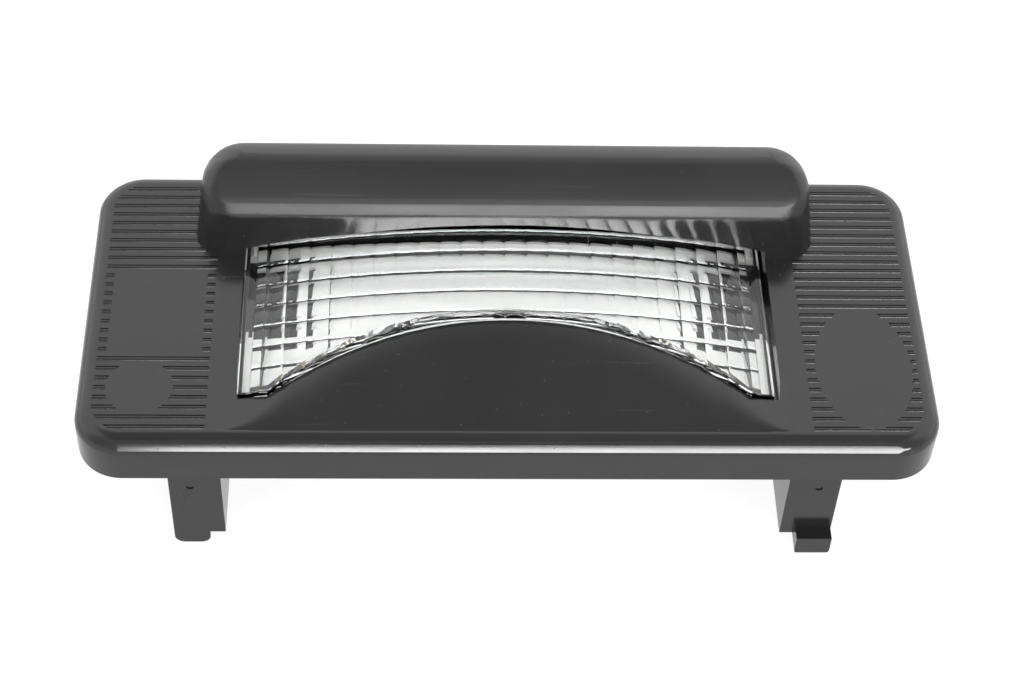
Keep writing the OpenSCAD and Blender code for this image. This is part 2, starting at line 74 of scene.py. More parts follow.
class Nodes:
    """A material's node tree with short calls to add and join nodes."""

    def __init__(self, name: str) -> None:
        """Starts an empty material.

        Args:
            name: The material's name.
        """
        self.material = bpy.data.materials.new(name)
        self.material.use_nodes = True
        self.tree = self.material.node_tree
        self.tree.nodes.clear()
        self.output = self.add("ShaderNodeOutputMaterial")

    def add(self, kind: str, **values: object) -> bpy.types.Node:
        """Adds a node.

        Args:
            kind: The node's type.
            values: Attributes, or sockets with their blanks written as underscores.

        Returns:
            The new node.
        """
        node = self.tree.nodes.new(kind)
        for key, value in values.items():
            if hasattr(node, key):
                setattr(node, key, value)
            else:
                node.inputs[key.replace("_", " ")].default_value = value
        return node

    def join(self, source: Socket, target: Socket) -> None:
        """Joins an output to an input."""
        self.tree.links.new(source, target)

    def place(self, scale: Point = (1, 1, 1), turn: float = 0.0) -> Socket:
        """Gives the object's coordinates, stretched and turned about Z.

        Args:
            scale: Stretch along each axis.
            turn: Turn about Z in degrees.

        Returns:
            The vector socket.
        """
        place = self.add("ShaderNodeTexCoord")
        mapping = self.add("ShaderNodeMapping")
        mapping.inputs["Scale"].default_value = scale
        mapping.inputs["Rotation"].default_value = (0, 0, math.radians(turn))
        self.join(place.outputs["Object"], mapping.inputs["Vector"])
        return mapping.outputs["Vector"]

    def noise(self, scale: float, vector: Socket, detail: float = 3.0) -> Socket:
        """Gives a noise value.

        Args:
            scale: Waves per metre.
            vector: Where the noise is read.
            detail: Octaves.

        Returns:
            The value socket.
        """
        noise = self.add("ShaderNodeTexNoise", Scale=scale, Detail=detail)
        self.join(vector, noise.inputs["Vector"])
        return noise.outputs["Fac"]

    def ramp(self, value: Socket, low: float, high: float, to_low: float, to_high: float) -> Socket:
        """Maps a range of a value to another, with soft ends.

        Args:
            value: The value to map.
            low: Start of the range.
            high: End of the range.
            to_low: Result at the start.
            to_high: Result at the end.

        Returns:
            The mapped value's socket.
        """
        node = self.add("ShaderNodeMapRange", interpolation_type="SMOOTHSTEP")
        ends = (("From Min", low), ("From Max", high), ("To Min", to_low), ("To Max", to_high))
        for key, number in ends:
            node.inputs[key].default_value = number
        self.join(value, node.inputs["Value"])
        return node.outputs["Result"]

    def math(self, operation: str, first: Socket, second: Socket | float) -> Socket:
        """Joins two values by an operation.

        Args:
            operation: Name of the operation.
            first: The first value.
            second: The second value, a socket or a number.

        Returns:
            The result's socket.
        """
        node = self.add("ShaderNodeMath", operation=operation)
        self.join(first, node.inputs[0])
        if isinstance(second, (int, float)):
            node.inputs[1].default_value = second
        else:
            self.join(second, node.inputs[1])
        return node.outputs[0]

    def stretch(self, value: Socket, factor: float, base: Socket) -> Socket:
        """Multiplies a value by a number and adds another value.

        Args:
            value: The value to multiply.
            factor: The number.
            base: The value to add.

        Returns:
            The result's socket.
        """
        result = self.math("MULTIPLY_ADD", value, factor)
        self.join(base, result.node.inputs[2])
        return result

    def tint(self, value: Socket, low: Colour, high: Colour) -> Socket:
        """Mixes two colours by a value.

        Args:
            value: The mixing value.
            low: Colour at 0.
            high: Colour at 1.

        Returns:
            The colour's socket.
        """
        node = self.add("ShaderNodeMix", data_type="RGBA")
        node.inputs["A"].default_value = (*low, 1)
        node.inputs["B"].default_value = (*high, 1)
        self.join(value, node.inputs["Factor"])
        return node.outputs["Result"]

    def bump(self, height: Socket, distance: float, strength: float = 1.0) -> Socket:
        """Turns a height into a normal.

        Args:
            height: The height value, 0 to 1.
            distance: The height's size in metres.
            strength: Strength of the effect.

        Returns:
            The normal's socket.
        """
        node = self.add("ShaderNodeBump", Strength=strength, Distance=distance)
        self.join(height, node.inputs["Height"])
        return node.outputs["Normal"]

    def surface(self, **values: object) -> bpy.types.Node:
        """Adds the Principled shader and joins it to the output.

        Args:
            values: Its sockets, with blanks written as underscores.

        Returns:
            The shader node.
        """
        shader = self.add("ShaderNodeBsdfPrincipled", **values)
        self.join(shader.outputs["BSDF"], self.output.inputs["Surface"])
        return shader


@dataclass(frozen=True)
class MouldedPlastic:
    """Moulded plastic with faint flow, handling scratches and dust.

    The worn zone is the part of the moulding behind worn_from and above worn_above, where hands
    and weather have dulled the gloss.
    """

    name: str
    colour: Colour
    dusty: Colour
    roughness: float
    worn_roughness: float
    ior: float = 1.5
    worn_from: float = 5.0
    worn_from_blend: float = 1.5
    worn_above: float = 11.9
    worn_above_blend: float = 0.7
    flow_scale: float = 70.0
    flow_share: float = 0.25
    flow_band: Span = (0.3, 0.7)
    flow_sway: float = 0.15
    scratch_scale: float = 60.0
    scratch_stretch: Point = (1.0, 60.0, 60.0)
    scratch_turn: float = 18.0
    scratch_band: Span = (0.69, 0.73)
    scratch_share: float = 0.35
    dust_scale: float = 1500.0
    dust_band: Span = (0.73, 0.8)
    dust_share: float = 0.5
    speck_roughness: float = 0.3
    grain_scale: float = 900.0
    grain_depth: float = 0.0000015

    def build(self) -> bpy.types.Material:
        """Makes the material.

        Returns:
            The new material.
        """
        n = Nodes(self.name)
        where = n.place()
        flow = n.noise(self.flow_scale, where, 4.0)
        grain = n.noise(self.grain_scale, where, 2.0)
        scratch = n.noise(self.scratch_scale, n.place(self.scratch_stretch, self.scratch_turn), 2.0)
        lines = n.ramp(scratch, *self.scratch_band, 0.0, 1.0)
        dust = n.ramp(n.noise(self.dust_scale, where, 1.0), *self.dust_band, 0.0, 1.0)
        lines = n.math("MULTIPLY", lines, self.scratch_share)
        specks = n.math("MAXIMUM", lines, n.math("MULTIPLY", dust, self.dust_share))
        marks = n.stretch(flow, self.flow_share, specks)
        least, most = self.roughness * (1 - self.flow_sway), self.roughness * (1 + self.flow_sway)
        rough = n.ramp(flow, *self.flow_band, least, most)
        wear = n.stretch(self.worn_zone(n, where), self.worn_roughness - self.roughness, rough)
        rough = n.math("ADD", wear, n.math("MULTIPLY", specks, self.speck_roughness))
        shader = n.surface(IOR=self.ior)
        n.join(n.tint(marks, self.colour, self.dusty), shader.inputs["Base Color"])
        n.join(rough, shader.inputs["Roughness"])
        n.join(n.bump(grain, self.grain_depth), shader.inputs["Normal"])
        return n.material

    def worn_zone(self, n: Nodes, where: Socket) -> Socket:
        """Gives 1 in the worn zone and 0 outside it.

        Args:
            n: The material's nodes.
            where: The object's coordinates.

        Returns:
            The value's socket.
        """
        split = n.add("ShaderNodeSeparateXYZ")
        n.join(where, split.inputs["Vector"])
        y_end = self.worn_from + self.worn_from_blend
        z_end = self.worn_above + self.worn_above_blend
        back = n.ramp(split.outputs["Y"], self.worn_from * MM, y_end * MM, 0.0, 1.0)
        high = n.ramp(split.outputs["Z"], self.worn_above * MM, z_end * MM, 0.0, 1.0)
        return n.math("MULTIPLY", back, high)


@dataclass(frozen=True)
class ClearPlastic:
    """Clear moulded plastic or glass, a little scratched."""

    name: str
    colour: Colour
    roughness: float
    ior: float
    hazy: Colour = (0.985, 0.99, 0.99)
    haze_scale: float = 180.0
    haze_band: Span = (0.3, 0.8)
    haze_sway: float = 0.5
    scratch_scale: float = 50.0
    scratch_stretch: Point = (60.0, 1.0, 60.0)
    scratch_turn: float = -24.0
    scratch_band: Span = (0.70, 0.74)
    scratch_roughness: float = 0.25
    wave_scale: float = 420.0
    wave_depth: float = 0.000002

    def build(self) -> bpy.types.Material:
        """Makes the material.

        Returns:
            The new material.
        """
        n = Nodes(self.name)
        where = n.place()
        haze = n.noise(self.haze_scale, where, 3.0)
        scratch = n.noise(self.scratch_scale, n.place(self.scratch_stretch, self.scratch_turn), 2.0)
        lines = n.ramp(scratch, *self.scratch_band, 0.0, 1.0)
        shader = n.surface(IOR=self.ior, Transmission_Weight=1.0)
        n.join(n.tint(haze, self.colour, self.hazy), shader.inputs["Base Color"])
        least, most = self.roughness * (1 - self.haze_sway), self.roughness * (1 + self.haze_sway)
        base = n.ramp(haze, *self.haze_band, least, most)
        n.join(n.stretch(lines, self.scratch_roughness, base), shader.inputs["Roughness"])
        waves = n.noise(self.wave_scale, where, 2.0)
        n.join(n.bump(waves, self.wave_depth), shader.inputs["Normal"])
        return n.material


@dataclass(frozen=True)
class Metal:
    """Rolled or plated metal with rolling lines and tarnish."""

    name: str
    colour: Colour
    tarnish: Colour
    roughness: float
    tarnish_scale: float = 240.0
    tarnish_band: Span = (0.45, 0.75)
    tarnish_dulling: float = 1.8
    line_scale: float = 200.0
    line_stretch: Point = (1.0, 1.0, 25.0)
    line_depth: float = 0.00001
    line_strength: float = 0.4

    def build(self) -> bpy.types.Material:
        """Makes the material.

        Returns:
            The new material.
        """
        n = Nodes(self.name)
        lines = n.noise(self.line_scale, n.place(self.line_stretch), 3.0)
        spots = n.ramp(n.noise(self.tarnish_scale, n.place(), 5.0), *self.tarnish_band, 0.0, 1.0)
        rough = n.ramp(spots, 0.0, 1.0, self.roughness, self.roughness * self.tarnish_dulling)
        shader = n.surface(Metallic=1.0)
        n.join(n.tint(spots, self.colour, self.tarnish), shader.inputs["Base Color"])
        n.join(rough, shader.inputs["Roughness"])
        n.join(n.bump(lines, self.line_depth, self.line_strength), shader.inputs["Normal"])
        return n.material


@dataclass(frozen=True)
class SealRubber:
    """Matt black rubber with talc in its pores."""

    name: str
    colour: Colour
    talc: Colour = (0.09, 0.09, 0.092)
    talc_scale: float = 160.0
    talc_band: Span = (0.45, 0.8)
    talc_share: float = 0.6
    pore_scale: float = 1400.0
    pore_band: Span = (0.3, 0.7)
    pore_roughness: Span = (0.6, 0.85)
    pore_depth: float = 0.00003

    def build(self) -> bpy.types.Material:
        """Makes the material.

        Returns:
            The new material.
        """
        n = Nodes(self.name)
        where = n.place()
        pores = n.noise(self.pore_scale, where, 3.0)
        bloom = n.ramp(n.noise(self.talc_scale, where, 4.0), *self.talc_band, 0.0, self.talc_share)
        shader = n.surface()
        n.join(n.tint(bloom, self.colour, self.talc), shader.inputs["Base Color"])
        rough = n.ramp(pores, *self.pore_band, *self.pore_roughness)
        n.join(rough, shader.inputs["Roughness"])
        n.join(n.bump(pores, self.pore_depth), shader.inputs["Normal"])
        return n.material


@dataclass(frozen=True)
class StudioPaper:
    """The pale floor: it shows near white to the camera and still takes the lamp's shadow."""

    name: str
    colour: Colour
    shown_white: float
    in_gloss: float = 0.8
    fibre_scale: float = 900.0
    fibre_shade: float = 0.98

    def build(self) -> bpy.types.Material:
        """Makes the material.

        Returns:
            The new material.
        """
        n = Nodes(self.name)
        paper = n.add("ShaderNodeBsdfDiffuse")
        fibre = n.noise(self.fibre_scale, n.place(), 3.0)
        shaded = tuple(c * self.fibre_shade for c in self.colour)
        n.join(n.tint(fibre, self.colour, shaded), paper.inputs["Color"])
        white = n.add("ShaderNodeEmission")
        white.inputs["Color"].default_value = (1, 1, 1, 1)
        ray = n.add("ShaderNodeLightPath")
        level = n.math("MULTIPLY_ADD", ray.outputs["Is Glossy Ray"], self.in_gloss - 1.0)
        level.node.inputs[2].default_value = 1.0
        n.join(level, white.inputs["Strength"])
        seen = n.math("MAXIMUM", ray.outputs["Is Camera Ray"], ray.outputs["Is Glossy Ray"])
        seen = n.math("MAXIMUM", seen, ray.outputs["Is Transmission Ray"])
        mix = n.add("ShaderNodeMixShader")
        n.join(n.math("MULTIPLY", seen, self.shown_white), mix.inputs[0])
        n.join(paper.outputs[0], mix.inputs[1])
        n.join(white.outputs[0], mix.inputs[2])
        n.join(mix.outputs[0], n.output.inputs["Surface"])
        return n.material


def make_piece(
    name: str, bm: bmesh.types.BMesh, material: bpy.types.Material, slot: Slot | None
) -> bpy.types.Object:
    """Turns a bmesh in millimetres into an object that rides on the lamp.

    Args:
        name: The piece's name.
        bm: The mesh, which is freed.
        material: Its finish.
        slot: The record's material slot, of which only whether it is None is used; None leaves a stage
            piece unattached.

    Returns:
        The object, at the origin.
    """
    bmesh.ops.scale(bm, vec=(MM, MM, MM), verts=bm.verts)
    mesh = bpy.data.meshes.new(name)
    bm.to_mesh(mesh)
    bm.free()
    piece = bpy.data.objects.new(name, mesh)
    bpy.context.scene.collection.objects.link(piece)
    mesh.materials.append(material)
    if slot is not None:
        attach(piece, BODY)
    return piece


def shade(bm: bmesh.types.BMesh, angle: float) -> None:
    """Shades every face smooth and keeps edges sharper than an angle hard.

    Args:
        bm: The mesh.
        angle: The angle in degrees.
    """
    for face in bm.faces:
        face.smooth = True
    limit = math.radians(angle)
    for edge in bm.edges:
        edge.smooth = not (len(edge.link_faces) == 2 and edge.calc_face_angle() > limit)


def weigh_normals(piece: bpy.types.Object) -> None:
    """Adds the modifier that keeps large flats flat beside small rounded edges.

    Args:
        piece: The object.
    """
    normals = piece.modifiers.new("flat faces", "WEIGHTED_NORMAL")
    normals.keep_sharp = True
    normals.weight = FLAT_WEIGHT


def smooth_max(first: float, second: float, blend: float) -> float:
    """The larger of two heights, with a soft blend between them.

    Args:
        first: One height.
        second: The other height.
        blend: Width of the blend, in height.

    Returns:
        The blended height.
    """
    near = max(blend - abs(first - second), 0.0) / max(blend, 1e-6)
    return max(first, second) + near * near * blend / 4


@dataclass
class LampFace:
    """Sizes that the face plate, tongue, lens and hood share, in millimetres."""

    rim_h: float = 6.3
    wall: float = 2.0
    front_y: float = -21.3
    tongue_y0: float = -19.2
    tongue_tip: float = -5.2
    tongue_slope: float = 3.3 / 14.0
    tongue_r: float = 46.0
    tongue_step: float = 0.9
    tongue_blend: float = 0.8
    ridge_blend: float = 1.2
    window_half: float = 31.6
    window_y0: float = -14.6
    crown: float = 4.3
    end: float = 0.5
    hood_y0: float = 7.6

    @property
    def arch_r(self) -> float:
        """Radius of the lens's barrel."""
        rise = self.crown - self.end
        return (self.window_half**2 + rise**2) / (2 * rise)

    def arch(self, x: float) -> float:
        """Height of the lens's barrel above the panel's face at a place across the lamp."""
        r = self.arch_r
        return self.rim_h + self.crown - r + math.sqrt(r * r - x * x)

    def disc_edge(self, x: float, grow: float = 0.0) -> float:
        """Where the tongue's curved edge lies along Y, or the plate's front beyond its ends.

        Args:
            x: Place across the lamp.
            grow: How much larger the tongue's disc is taken.

        Returns:
            The place along Y.
        """
        r = self.tongue_r + grow
        if abs(x) >= r:
            return self.front_y
        return self.tongue_tip - self.tongue_r + math.sqrt(r * r - x * x)

    def hump(self, x: float, y: float) -> float:
        """Height of the tongue above the flat face, blended softly into it.

        Args:
            x: Place across the lamp.
            y: Place from front to back.

        Returns:
            The height in millimetres.
        """
        slope = self.tongue_slope * (y - self.tongue_y0)
        side = smooth_max(self.arch(x) - self.rim_h - self.tongue_step, 0.0, self.tongue_blend)
        return -smooth_max(-slope, -side, min(self.ridge_blend, side))


@dataclass
class Housing:
    """The black moulding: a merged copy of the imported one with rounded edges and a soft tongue.

    The hood's front is eased to a larger rounding whose lower middle leans forward, the rim's
    rounding has one narrow facet, and the wings' grooves have a fine lip in front. Turns are
    degrees from straight up towards the front; edge_angle and flat_angle are radians.
    """

    face: LampFace
    edge: float = 0.16
    edge_steps: int = 2
    edge_angle: float = 0.7
    hard_angle: float = 35.0
    merge: float = 0.002
    flat_angle: float = 0.004
    near: float = 0.01
    above: float = 0.02
    on_plane: float = 0.001
    sloping: float = 0.05
    upright: float = 0.01
    facing_back: float = 0.9
    patch_half: float = 34.0
    patch_front: float = 0.05
    patch_back: float = 3.0
    patch_steps: int = 4
    last_row: float = 0.999
    columns: int = 170
    rows: int = 60
    overlap: float = 0.03
    sink: float = 0.03
    sink_below: float = 0.06
    edge_r: float = 2.0
    facet_from: float = 46.0
    facet_to: float = 71.5
    facet_half: float = 46.0
    lip_r: float = 0.25
    lip_rise: float = 0.15
    lip_sides: int = 44
    lip_shortest: float = 0.3
    groove_depth: float = 0.25
    shown_depth: float = 0.15
    hood_clear: float = 2.0
    hood_r: float = 7.47
    hood_reach: float = 2.5
    hood_mid: Span = (15.8, 9.41)
    hood_turns: Span = (12.4, 78.5)
    turn_play: float = 0.1
    hood_steps: int = 13
    hood_front: Span = (7.0, 15.5)
    hood_top: float = 4.0
    flat_turn: float = 70.75
    flat_half: float = 17.0
    flat_end: float = 24.0
    flat_steps: int = 4
    flat_foot: float = 1.0
    flat_near: float = 0.15

    def build(self, finish: bpy.types.Material) -> bpy.types.Object:
        """Builds the moulding.

        Args:
            finish: Its material.

        Returns:
            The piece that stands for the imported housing.
        """
        bm, lips = self.shell()
        self.add_tongue(bm)
        shade(bm, self.hard_angle)
        piece = make_piece("housing_shell", bm, finish, Slot.BLACK)
        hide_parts("housing")
        weigh_normals(piece)
        self.add_lips(lips, finish)
        return piece

    def add_lips(self, lips: list[Point], finish: bpy.types.Material) -> None:
        """Adds the fine raised lips along the front edges of the wings' grooves.

        Args:
            lips: Each lip's two ends along X and its place along Y.
            finish: The housing's material.
        """
        bm = bmesh.new()
        z = self.face.rim_h + self.lip_rise - self.lip_r
        along_x = Matrix.Rotation(math.pi / 2, 4, "Y")
        for x0, x1, y in lips:
            bmesh.ops.create_cone(
                bm, cap_ends=True, segments=self.lip_sides, radius1=self.lip_r, radius2=self.lip_r,
                depth=x1 - x0, matrix=Matrix.Translation(((x0 + x1) / 2, y, z)) @ along_x,
            )
        make_piece("groove_lips", bm, finish, Slot.BLACK)

    def shell(self) -> tuple[bmesh.types.BMesh, list[Point]]:
        """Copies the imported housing, opens the place of the tongue and rounds the edges.

        Returns:
            The mesh in millimetres, and the front edges of the grooves.
        """
        bm = bmesh.new()
        bm.from_mesh(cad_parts["housing"].data)
        bmesh.ops.scale(bm, vec=(1 / MM, 1 / MM, 1 / MM), verts=bm.verts)
        bmesh.ops.remove_doubles(bm, verts=bm.verts, dist=self.merge)
        old = [p for p in bm.faces if self.on_tongue(p)]
        bmesh.ops.delete(bm, geom=old, context="FACES")
        bmesh.ops.dissolve_limit(bm, angle_limit=self.flat_angle, verts=bm.verts, edges=bm.edges)
        self.flatten_rim(bm)
        self.round_hood(bm)
        self.lean_hood(bm)
        rim_h = self.face.rim_h
        for v in bm.verts:
            if abs(v.co.z - rim_h + self.groove_depth) < self.near and abs(v.co.x) > self.patch_half:
                v.co.z = rim_h - self.shown_depth
        lips = self.near_edges(bm)
        paired = [e for e in bm.edges if len(e.link_faces) == 2]
        sharp = [e for e in paired if e.calc_face_angle() > self.edge_angle]
        raised = rim_h - self.above
        sharp = [e for e in sharp if e.is_convex or min(v.co.z for v in e.verts) > raised]
        bmesh.ops.bevel(
            bm, geom=sharp, offset=self.edge, offset_type="OFFSET", segments=self.edge_steps,
            profile=0.5, affect="EDGES", clamp_overlap=True, material=-1,
        )
        return bm, lips

    def on_tongue(self, face: bmesh.types.BMFace) -> bool:
        """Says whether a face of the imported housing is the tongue's top or its upright edge.

        Args:
            face: The face.

        Returns:
            Whether the soft tongue stands for it.
        """
        middle = face.calc_center_median()
        raised = middle.z > self.face.rim_h + self.above
        in_front = raised and middle.y < self.face.hood_y0 - self.hood_clear
        return in_front and (face.normal.z > self.sloping or abs(face.normal.z) < self.upright)

    def flatten_rim(self, bm: bmesh.types.BMesh) -> None:
        """Lays the middle of the front edge's rounding onto one narrow facet.

        Args:
            bm: The mesh.
        """
        mid_y, mid_z = self.face.front_y + self.edge_r, self.face.rim_h - self.edge_r
        low, high = math.radians(self.facet_from), math.radians(self.facet_to)
        for v in bm.verts:
            y, z = v.co.y - mid_y, v.co.z - mid_z
            rounded = y < 0 < z and abs(math.hypot(y, z) - self.edge_r) < self.above
            turn = math.atan2(-y, z)
            if rounded and abs(v.co.x) < self.facet_half and low < turn < high:
                turn = low if turn - low < high - turn else high
                v.co.y = mid_y - self.edge_r * math.sin(turn)
                v.co.z = mid_z + self.edge_r * math.cos(turn)
        bmesh.ops.remove_doubles(bm, verts=bm.verts, dist=self.merge)

    def hood_cuts(self) -> list[tuple[Point, Point]]:
        """Gives the planes that cut the hood's front finely enough to bend it.

        Returns:
            A place on each plane and its normal.
        """
        mid_y, mid_z = self.hood_mid
        first, last = self.hood_turns
        steps = self.hood_steps
        turns = [first + (last - first) * step / steps for step in range(steps + 1)]
        turns = [math.radians(turn) for turn in turns + [self.flat_turn]]
        cuts = [((0, mid_y, mid_z), (0, math.cos(turn), math.sin(turn))) for turn in turns]
        for step in range(self.flat_steps + 1):
            x = self.flat_half + (self.flat_end - self.flat_half) * step / self.flat_steps
            cuts += [((-x, 0, 0), (1, 0, 0)), ((x, 0, 0), (1, 0, 0))]
        return cuts

    def round_hood(self, bm: bmesh.types.BMesh) -> None:
        """Eases the hood's front edge to a larger rounding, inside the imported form.

        Args:
            bm: The mesh.
        """
        front, back = self.hood_front
        top = self.face.rim_h + self.hood_top
        for place, way in self.hood_cuts():
            faces = [
                p for p in bm.faces
                if all(front < v.co.y < back for v in p.verts) and max(v.co.z for v in p.verts) > top
            ]
            edges = dict.fromkeys(e for p in faces for e in p.edges)
            verts = dict.fromkeys(v for p in faces for v in p.verts)
            geom = faces + list(edges) + list(verts)
            bmesh.ops.bisect_plane(bm, geom=geom, dist=self.on_plane, plane_co=place, plane_no=way)
        mid_y, mid_z = self.hood_mid
        first, last = self.hood_turns
        for v in bm.verts:
            y, z = v.co.y - mid_y, v.co.z - mid_z
            turn, away = math.degrees(math.atan2(-y, z)), math.hypot(y, z)
            in_turn = first - self.turn_play < turn < last + self.turn_play
            if in_turn and self.hood_r < away < self.hood_r + self.hood_reach:
                v.co.y, v.co.z = mid_y + y * self.hood_r / away, mid_z + z * self.hood_r / away

    def lean_hood(self, bm: bmesh.types.BMesh) -> None:
        """Leans the lower middle of the hood's front forward onto one flat.

        Args:
            bm: The mesh.
        """
        mid_y, mid_z = self.hood_mid
        flat, lean = math.radians(self.flat_turn), math.radians(90 - self.hood_turns[1])
        top_y, top_z = mid_y - self.hood_r * math.sin(flat), mid_z + self.hood_r * math.cos(flat)
        foot_y, foot_z = mid_y - self.hood_r * math.cos(lean), mid_z + self.hood_r * math.sin(lean)
        foot = self.face.rim_h + self.flat_foot
        for v in bm.verts:
            packed = foot_y - (foot_z - v.co.z) * math.tan(lean)
            on_front = foot < v.co.z < top_z and abs(v.co.y - packed) < self.flat_near
            if on_front and abs(v.co.x) < self.flat_end:
                share = min((self.flat_end - abs(v.co.x)) / (self.flat_end - self.flat_half), 1.0)
                wanted = top_y - (top_z - v.co.z) / math.tan(flat)
                v.co.y += (wanted - v.co.y) * share * share * (3 - 2 * share)

    def near_edges(self, bm: bmesh.types.BMesh) -> list[Point]:
        """Finds the front edges of the wings' grooves.

        Args:
            bm: The mesh.

        Returns:
            Each edge's two places along X and its place along Y.
        """
        found = []
        rim_h = self.face.rim_h
        for edge in bm.edges:
            a, b = (v.co for v in edge.verts)
            level = abs(a.z - rim_h) < self.near and abs(b.z - rim_h) < self.near
            across = abs(a.y - b.y) <= self.near and abs(a.x - b.x) >= self.lip_shortest
            if not level or not across or abs(a.x) < self.patch_half:
                continue
            if any(p.normal.y > self.facing_back for p in edge.link_faces):
                found.append((min(a.x, b.x), max(a.x, b.x), a.y))
        return found

    def add_tongue(self, bm: bmesh.types.BMesh) -> None:
        """Adds the sloping tongue as one soft surface with a rounded curved edge.

        Args:
            bm: The mesh to add it to.
        """
        f = self.face
        made = bmesh.ops.create_grid(bm, x_segments=self.columns, y_segments=self.rows, size=1.0)
        front = f.tongue_y0 - self.patch_front
        row = set()
        for v in made["verts"]:
            share = (v.co.y + 1) / 2
            x = v.co.x * self.patch_half
            back = f.window_y0 + self.patch_back
            if abs(x) < f.window_half:
                back = max(f.disc_edge(x, self.overlap), f.window_y0 + self.overlap)
            y = front + (back - front) * share
            h = f.hump(x, y)
            v.co = Vector((x, y, f.rim_h + h - self.sink * max(1 - h / self.sink_below, 0.0)))
            if share > self.last_row and abs(x) < f.window_half:
                row.add(v)
        edges = [e for e in bm.edges if e.verts[0] in row and e.verts[1] in row]
        wall = bmesh.ops.extrude_edge_only(bm, edges=edges)["geom"]
        for v in (g for g in wall if isinstance(g, bmesh.types.BMVert)):
            v.co.z -= f.wall
        bmesh.ops.bevel(
            bm, geom=edges, offset=self.edge, offset_type="OFFSET", segments=self.patch_steps,
            profile=0.5, affect="EDGES", clamp_overlap=True, material=-1,
        )


@dataclass
class Lens:
    """The clear lens: a barrel with hollow columns outside and hollow rows inside.

    Fine ridges stand between the columns and between the rows. The front follows the tongue's
    curved edge, with a wall of its own.
    """

    face: LampFace
    half: float = 31.0
    shift: float = -0.4
    y0: float = -14.4
    y1: float = 16.2
    thick: float = 2.0
    side_wall: float = 1.6
    foot_z: float = 2.9
    flange_t: float = 1.4
    flange_play: float = 0.02
    flange_half: float = 32.2
    flange_y1: float = 17.6
    gap: float = 0.15
    column_count: int = 24
    row_start: float = -19.4
    row_pitch: float = 3.15
    depth: float = 0.18
    row_depth: float = 0.1
    ridge_w: float = 0.2
    ridge_h: float = 0.045
    row_ridge_w: float = 0.32
    row_ridge_h: float = 0.075
    ridge_steepness: float = 1.05
    chamfer: float = 0.14
    steps: int = 6
    ridge_lines: tuple[float, ...] = (-0.4, -0.2, 0.0, 0.2, 0.4)
    wall_step: float = 0.005
    line_gap: float = 0.004
    near: float = 0.001
    merge: float = 0.0005
    hard_angle: float = 24.0

    @property
    def column_pitch(self) -> float:
        """Distance between two ridges of the columns."""
        return 2 * self.half / self.column_count

    def build(self, finish: bpy.types.Material) -> bpy.types.Object:
        """Builds the lens.

        Args:
            finish: Its material.

        Returns:
            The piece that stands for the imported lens.
        """
        bm = bmesh.new()
        self.add_outside(bm)
        self.add_inside(bm)
        self.add_flange(bm)
        bmesh.ops.translate(bm, vec=(self.shift, 0, 0), verts=bm.verts)
        shade(bm, self.hard_angle)
        piece = make_piece("lens_fluted", bm, finish, Slot.CLEAR)
        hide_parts("lens")
        return piece

    def add_outside(self, bm: bmesh.types.BMesh) -> None:
        """Adds the lens's outside as one grid with lines at its flutes, ridges and walls.

        Args:
            bm: The empty mesh.
        """
        xs, ys = self.grid_lines()
        rows = [self.fit_rows(x, ys) for x in xs]
        x_count, y_count = len(xs) - 1, len(rows[0]) - 1
        made = bmesh.ops.create_grid(bm, x_segments=x_count, y_segments=y_count, size=1.0)
        for v in made["verts"]:
            column = round((v.co.x + 1) / 2 * x_count)
            row = round((v.co.y + 1) / 2 * y_count)
            x = xs[column]
            on_edge = row == 0 or abs(x) > self.half - self.near
            drop = self.chamfer if on_edge else 0.0
            v.co = Vector((x, rows[column][row], self.outer(x) - drop))
        bmesh.ops.remove_doubles(bm, verts=bm.verts, dist=self.merge)

    def add_inside(self, bm: bmesh.types.BMesh) -> None:
        """Adds the lens's inside, as a copy of its outside, and the walls that close it.

        Args:
            bm: The mesh that holds the outside.
        """
        inner = set(bmesh.ops.duplicate(bm, geom=bm.verts[:] + bm.edges[:] + bm.faces[:])["geom"])
        self.lay_inside(inner)
        rim = [e for e in bm.edges if len(e.link_faces) == 1 and e not in inner]
        self.lay_inside(bmesh.ops.extrude_edge_only(bm, edges=rim)["geom"])
        bmesh.ops.remove_doubles(bm, verts=bm.verts, dist=self.merge)
        bmesh.ops.recalc_face_normals(bm, faces=bm.faces)

    def lay_inside(self, geom: set | list) -> None:
        """Moves new corners down to the lens's inside.

        Args:
            geom: New parts of the mesh, of which the corners move.
        """
        for v in (g for g in geom if isinstance(g, bmesh.types.BMVert)):
            v.co.z = self.inner(v.co.x, v.co.y)

    def grid_lines(self) -> tuple[list[float], list[float]]:
        """Gives the grid's lines across and along the lens.

        Returns:
            Places along X and places along Y, in order.
        """
        xs = self.ticks(-self.half, self.half, self.column_pitch, -self.half, self.ridge_w)
        ys = self.ticks(self.y0, self.y1, self.row_pitch, self.row_start, self.row_ridge_w)
        step = 2 * self.wall_step
        for wall_x in (self.side_wall - self.half, self.half - self.side_wall):
            xs += [wall_x - step, wall_x + step]
        inset = self.half - self.chamfer
        xs = [x for x in xs if abs(x) <= inset] + [-self.half, self.half, -inset, inset]
        for wall_y in (self.y0 + self.side_wall, self.y1 - self.side_wall):
            ys += [wall_y - step, wall_y + step]
        return self.tidy(xs), self.tidy(ys)

    def front(self, x: float) -> float:
        """Place of the lens's front edge, straight or along the tongue."""
        return max(self.y0, self.face.disc_edge(x + self.shift, self.gap))

    def fit_rows(self, x: float, ys: list[float]) -> list[float]:
        """Starts the grid lines with the front wall's own ones and moves the others behind it.

        Args:
            x: Place across the lens.
            ys: Grid lines from front to back.

        Returns:
            The moved lines.
        """
        edge = self.front(x)
        wall = edge + self.side_wall
        behind = wall + self.wall_step
        own = [edge, edge + self.chamfer, wall - self.wall_step, behind]
        return own + [max(y, behind) for y in ys[1:]]

